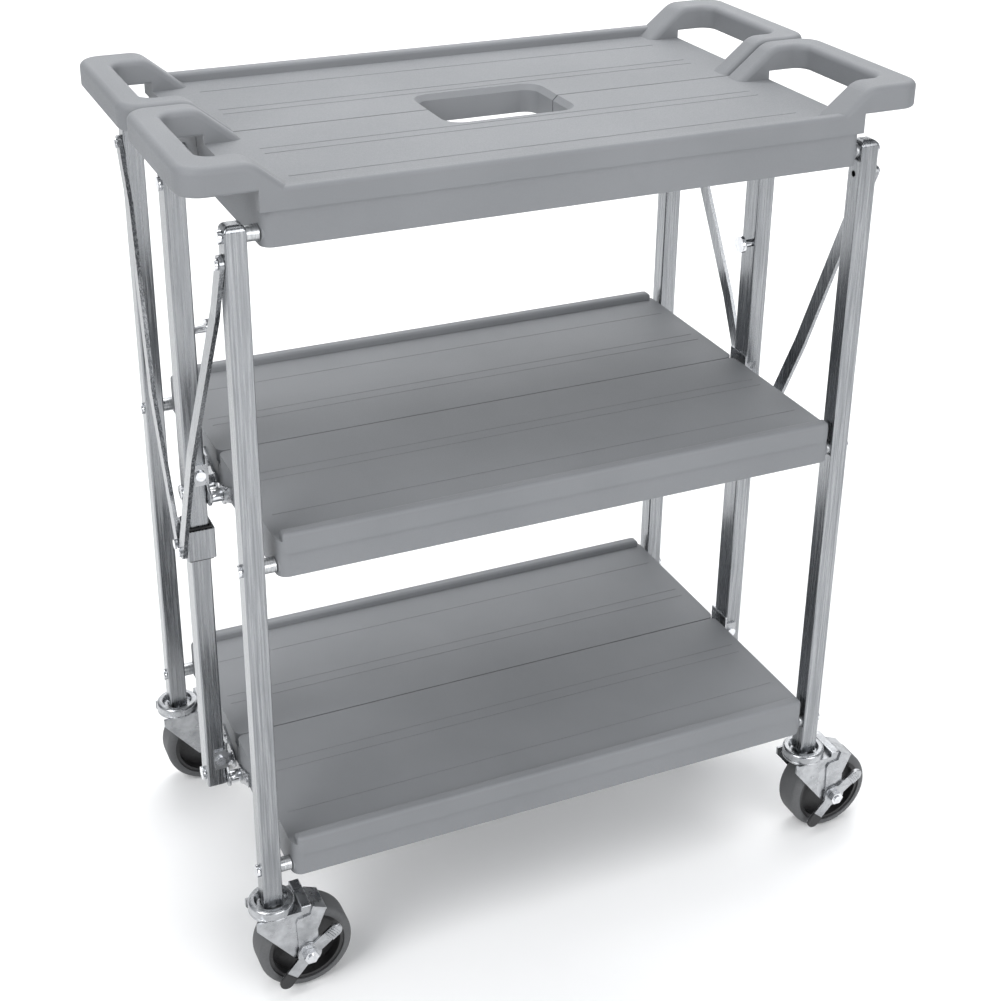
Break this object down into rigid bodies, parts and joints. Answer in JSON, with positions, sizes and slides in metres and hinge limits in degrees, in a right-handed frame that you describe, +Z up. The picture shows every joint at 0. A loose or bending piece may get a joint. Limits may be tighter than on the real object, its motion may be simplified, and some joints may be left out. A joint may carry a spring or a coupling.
{
  "type": "folding food service trolley",
  "caption": "Folding three-tier service trolley: split moulded shelves on square steel legs, hinged to centre posts, with braces, sliding collars, handle loops and swivel casters.",
  "frame": {"origin": "centre of the footprint on the floor, under the middle of the shelves", "axes": "+X along the length towards the right-hand handles, -Y is the front with the braked casters, +Z up"},
  "size_m": [0.726, 0.413, 0.8457],
  "materials": {
    "shelf_plastic": "fine matte moulded texture",
    "tube_steel": "satin drawn tube",
    "plated_steel": "bright zinc plated pressing",
    "fastener_chrome": "bright plated fastener",
    "spacer_steel": "turned bush",
    "liner_plastic": "black nylon",
    "hub_plastic": "black moulded core",
    "tyre_rubber": "grey non-marking tread"
  },
  "bodies": {
    "frame": {"post_left": "tube_steel", "post_right": "tube_steel", "hinge_brackets": "plated_steel", "hinge_pins": "fastener_chrome", "stop_screws": "fastener_chrome"},
    "top_front": {"shelf_top_front": "shelf_plastic", "ears_top_front": "plated_steel"},
    "middle_front": {"shelf_middle_front": "shelf_plastic", "ears_middle_front": "plated_steel"},
    "low_front": {"shelf_low_front": "shelf_plastic", "ears_low_front": "plated_steel"},
    "legs_front": {"leg_front_left": "tube_steel", "leg_front_right": "tube_steel", "leg_bolts_front": "fastener_chrome", "leg_spacers_front": "spacer_steel", "caster_raceways_front": "plated_steel"},
    "brace_front_left": {"brace_front_left": "tube_steel", "brace_rivet_front_left": "fastener_chrome"},
    "fork_front_left": {"fork_front_left": "plated_steel", "axle_front_left": "fastener_chrome", "brake_plate_front_left": "plated_steel"},
    "wheel_front_left": {"hub_front_left": "hub_plastic", "tyre_front_left": "tyre_rubber"},
    "brake_front_left": {"brake_lever_front_left": "plated_steel"},
    "brace_front_right": {"brace_front_right": "tube_steel", "brace_rivet_front_right": "fastener_chrome"},
    "fork_front_right": {"fork_front_right": "plated_steel", "axle_front_right": "fastener_chrome", "brake_plate_front_right": "plated_steel"},
    "wheel_front_right": {"hub_front_right": "hub_plastic", "tyre_front_right": "tyre_rubber"},
    "brake_front_right": {"brake_lever_front_right": "plated_steel"},
    "top_back": {"shelf_top_back": "shelf_plastic", "ears_top_back": "plated_steel"},
    "middle_back": {"shelf_middle_back": "shelf_plastic", "ears_middle_back": "plated_steel"},
    "low_back": {"shelf_low_back": "shelf_plastic", "ears_low_back": "plated_steel"},
    "legs_back": {"leg_back_left": "tube_steel", "leg_back_right": "tube_steel", "leg_bolts_back": "fastener_chrome", "leg_spacers_back": "spacer_steel", "caster_raceways_back": "plated_steel"},
    "brace_back_left": {"brace_back_left": "tube_steel", "brace_rivet_back_left": "fastener_chrome"},
    "fork_back_left": {"fork_back_left": "plated_steel", "axle_back_left": "fastener_chrome"},
    "wheel_back_left": {"hub_back_left": "hub_plastic", "tyre_back_left": "tyre_rubber"},
    "brace_back_right": {"brace_back_right": "tube_steel", "brace_rivet_back_right": "fastener_chrome"},
    "fork_back_right": {"fork_back_right": "plated_steel", "axle_back_right": "fastener_chrome"},
    "wheel_back_right": {"hub_back_right": "hub_plastic", "tyre_back_right": "tyre_rubber"},
    "collar_left": {"collar_left": "tube_steel", "collar_liner_left": "liner_plastic"},
    "collar_right": {"collar_right": "tube_steel", "collar_liner_right": "liner_plastic"}
  },
  "joints": [
    {"name": "fold_top_front", "type": "hinge", "parent": "frame", "child": "top_front", "pos_m": [-0.016, -0.0111, 0.7727], "axis": [1, 0, 0], "range_deg": [0, 80]},
    {"name": "fold_middle_front", "type": "hinge", "parent": "frame", "child": "middle_front", "pos_m": [-0.016, -0.0111, 0.463], "axis": [1, 0, 0], "range_deg": [0, 80]},
    {"name": "fold_low_front", "type": "hinge", "parent": "frame", "child": "low_front", "pos_m": [-0.016, -0.0111, 0.132], "axis": [1, 0, 0], "range_deg": [0, 80]},
    {"name": "legs_front_swing", "type": "hinge", "parent": "top_front", "child": "legs_front", "pos_m": [-0.016, -0.1734, 0.7837], "axis": [1, 0, 0], "range_deg": [-80, 0]},
    {"name": "brace_front_left_swing", "type": "hinge", "parent": "legs_front", "child": "brace_front_left", "pos_m": [-0.332, -0.1734, 0.7608], "axis": [1, 0, 0], "range_deg": [-18.74, 0]},
    {"name": "caster_front_left_swivel", "type": "hinge", "parent": "legs_front", "child": "fork_front_left", "pos_m": [-0.319, -0.1734, 0.097], "axis": [0, 0, 1], "continuous": true},
    {"name": "wheel_front_left_spin", "type": "hinge", "parent": "fork_front_left", "child": "wheel_front_left", "pos_m": [-0.29, -0.1734, 0.047], "axis": [0, 1, 0], "continuous": true},
    {"name": "brake_front_left_rock", "type": "hinge", "parent": "fork_front_left", "child": "brake_front_left", "pos_m": [-0.29, -0.1974, 0.047], "axis": [0, 1, 0], "range_deg": [0, 20]},
    {"name": "brace_front_right_swing", "type": "hinge", "parent": "legs_front", "child": "brace_front_right", "pos_m": [0.3, -0.1734, 0.7608], "axis": [1, 0, 0], "range_deg": [-18.74, 0]},
    {"name": "caster_front_right_swivel", "type": "hinge", "parent": "legs_front", "child": "fork_front_right", "pos_m": [0.287, -0.1734, 0.097], "axis": [0, 0, 1], "continuous": true},
    {"name": "wheel_front_right_spin", "type": "hinge", "parent": "fork_front_right", "child": "wheel_front_right", "pos_m": [0.316, -0.1734, 0.047], "axis": [0, 1, 0], "continuous": true},
    {"name": "brake_front_right_rock", "type": "hinge", "parent": "fork_front_right", "child": "brake_front_right", "pos_m": [0.316, -0.1974, 0.047], "axis": [0, 1, 0], "range_deg": [0, 20]},
    {"name": "fold_top_back", "type": "hinge", "parent": "frame", "child": "top_back", "pos_m": [-0.016, 0.0189, 0.7727], "axis": [1, 0, 0], "range_deg": [-80, 0]},
    {"name": "fold_middle_back", "type": "hinge", "parent": "frame", "child": "middle_back", "pos_m": [-0.016, 0.0189, 0.463], "axis": [1, 0, 0], "range_deg": [-80, 0]},
    {"name": "fold_low_back", "type": "hinge", "parent": "frame", "child": "low_back", "pos_m": [-0.016, 0.0189, 0.132], "axis": [1, 0, 0], "range_deg": [-80, 0]},
    {"name": "legs_back_swing", "type": "hinge", "parent": "top_back", "child": "legs_back", "pos_m": [-0.016, 0.1812, 0.7837], "axis": [1, 0, 0], "range_deg": [0, 80]},
    {"name": "brace_back_left_swing", "type": "hinge", "parent": "legs_back", "child": "brace_back_left", "pos_m": [-0.332, 0.1812, 0.7608], "axis": [1, 0, 0], "range_deg": [0, 18.74]},
    {"name": "caster_back_left_swivel", "type": "hinge", "parent": "legs_back", "child": "fork_back_left", "pos_m": [-0.319, 0.1812, 0.097], "axis": [0, 0, 1], "continuous": true},
    {"name": "wheel_back_left_spin", "type": "hinge", "parent": "fork_back_left", "child": "wheel_back_left", "pos_m": [-0.29, 0.1812, 0.047], "axis": [0, 1, 0], "continuous": true},
    {"name": "brace_back_right_swing", "type": "hinge", "parent": "legs_back", "child": "brace_back_right", "pos_m": [0.3, 0.1812, 0.7608], "axis": [1, 0, 0], "range_deg": [0, 18.74]},
    {"name": "caster_back_right_swivel", "type": "hinge", "parent": "legs_back", "child": "fork_back_right", "pos_m": [0.287, 0.1812, 0.097], "axis": [0, 0, 1], "continuous": true},
    {"name": "wheel_back_right_spin", "type": "hinge", "parent": "fork_back_right", "child": "wheel_back_right", "pos_m": [0.316, 0.1812, 0.047], "axis": [0, 1, 0], "continuous": true},
    {"name": "collar_left_slide", "type": "slide", "parent": "frame", "child": "collar_left", "axis": [0, 0, 1], "range_m": [-0.2044, 0]},
    {"name": "collar_right_slide", "type": "slide", "parent": "frame", "child": "collar_right", "axis": [0, 0, 1], "range_m": [-0.2044, 0]}
  ],
  "couplings": [
    {"joint": "fold_middle_front", "follows": "fold_top_front", "ratio": 1},
    {"joint": "fold_low_front", "follows": "fold_top_front", "ratio": 1},
    {"joint": "legs_front_swing", "follows": "fold_top_front", "ratio": -1},
    {"joint": "brace_front_left_swing", "follows": "fold_top_front", "ratio": -0.23426},
    {"joint": "brace_front_right_swing", "follows": "fold_top_front", "ratio": -0.23426},
    {"joint": "fold_top_back", "follows": "fold_top_front", "ratio": -1},
    {"joint": "fold_middle_back", "follows": "fold_top_front", "ratio": -1},
    {"joint": "fold_low_back", "follows": "fold_top_front", "ratio": -1},
    {"joint": "legs_back_swing", "follows": "fold_top_front", "ratio": 1},
    {"joint": "brace_back_left_swing", "follows": "fold_top_front", "ratio": 0.23426},
    {"joint": "brace_back_right_swing", "follows": "fold_top_front", "ratio": 0.23426},
    {"joint": "collar_left_slide", "follows": "fold_top_front", "m_per_rad": -0.14638},
    {"joint": "collar_right_slide", "follows": "fold_top_front", "m_per_rad": -0.14638}
  ]
}
